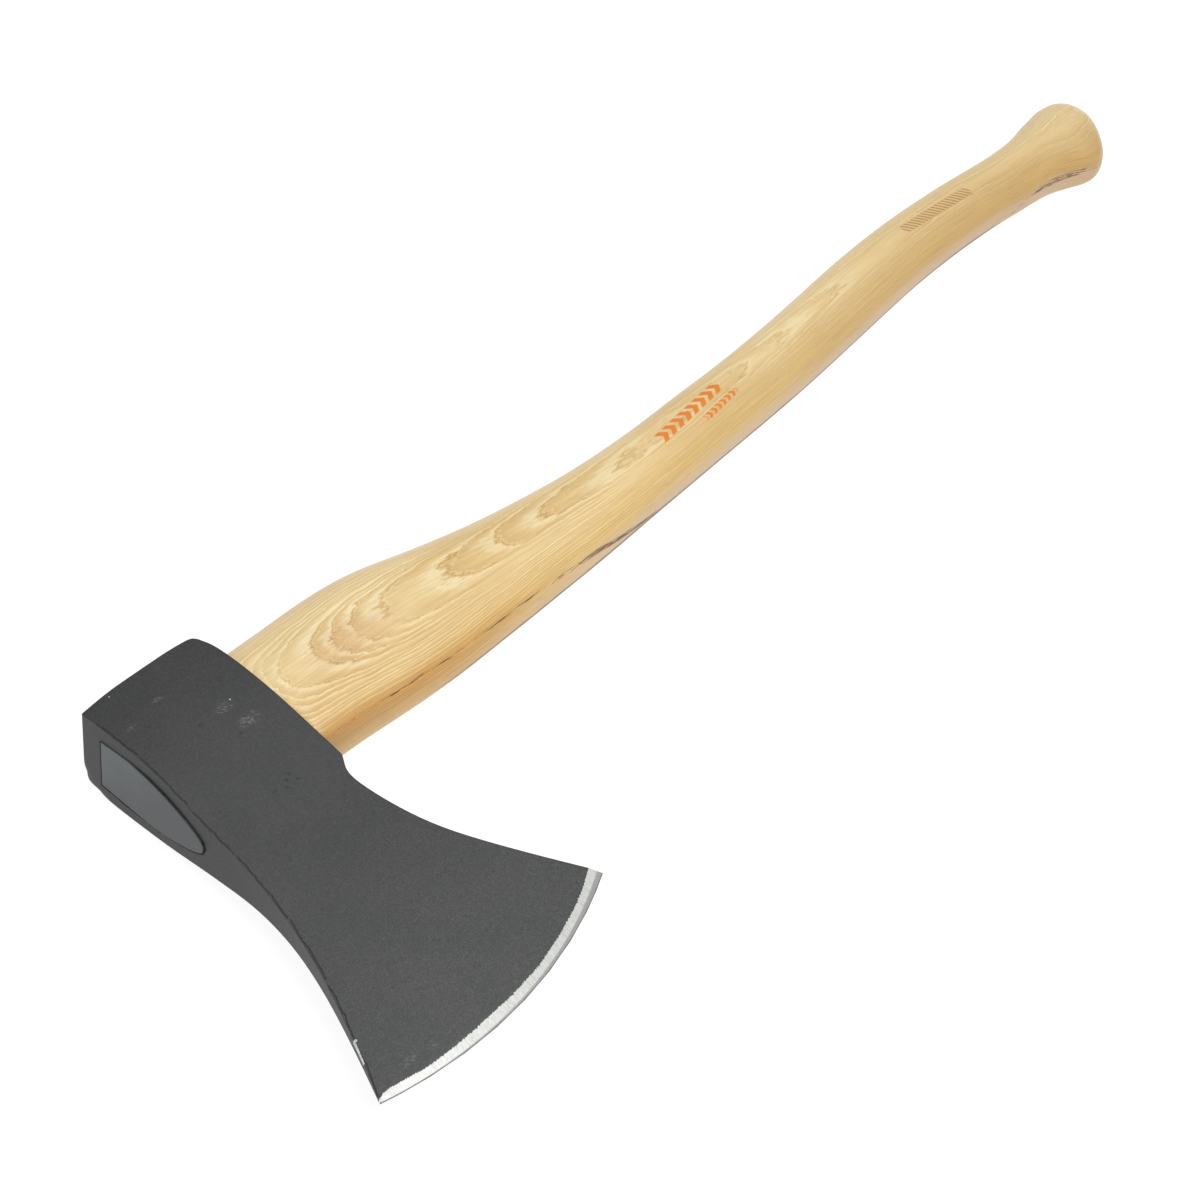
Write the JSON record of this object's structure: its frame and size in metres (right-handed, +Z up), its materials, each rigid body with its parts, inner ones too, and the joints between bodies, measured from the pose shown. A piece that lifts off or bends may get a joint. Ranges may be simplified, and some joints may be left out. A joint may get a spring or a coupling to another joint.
{
  "type": "felling axe",
  "caption": "Felling axe: painted forged head with ground bevels, curved hickory haft with a fawn-foot knob and a sealed eye.",
  "frame": {"origin": "under the middle of the axe's bounding box, on the plane the axe lies on", "axes": "+X from the head to the knob along the haft, +Y from the cutting edge to the poll, +Z up off the surface the axe lies on its side on"},
  "size_m": [0.7372, 0.1958, 0.0378],
  "materials": {
    "painted_steel": "matte",
    "hickory": "satin",
    "wedge_wood": "matte",
    "seal_resin": "satin"
  },
  "bodies": {
    "root": {"axe_head": "painted_steel", "haft": "hickory", "kerf_wedge": "wedge_wood", "eye_seal": "seal_resin"}
  },
  "joints": []
}
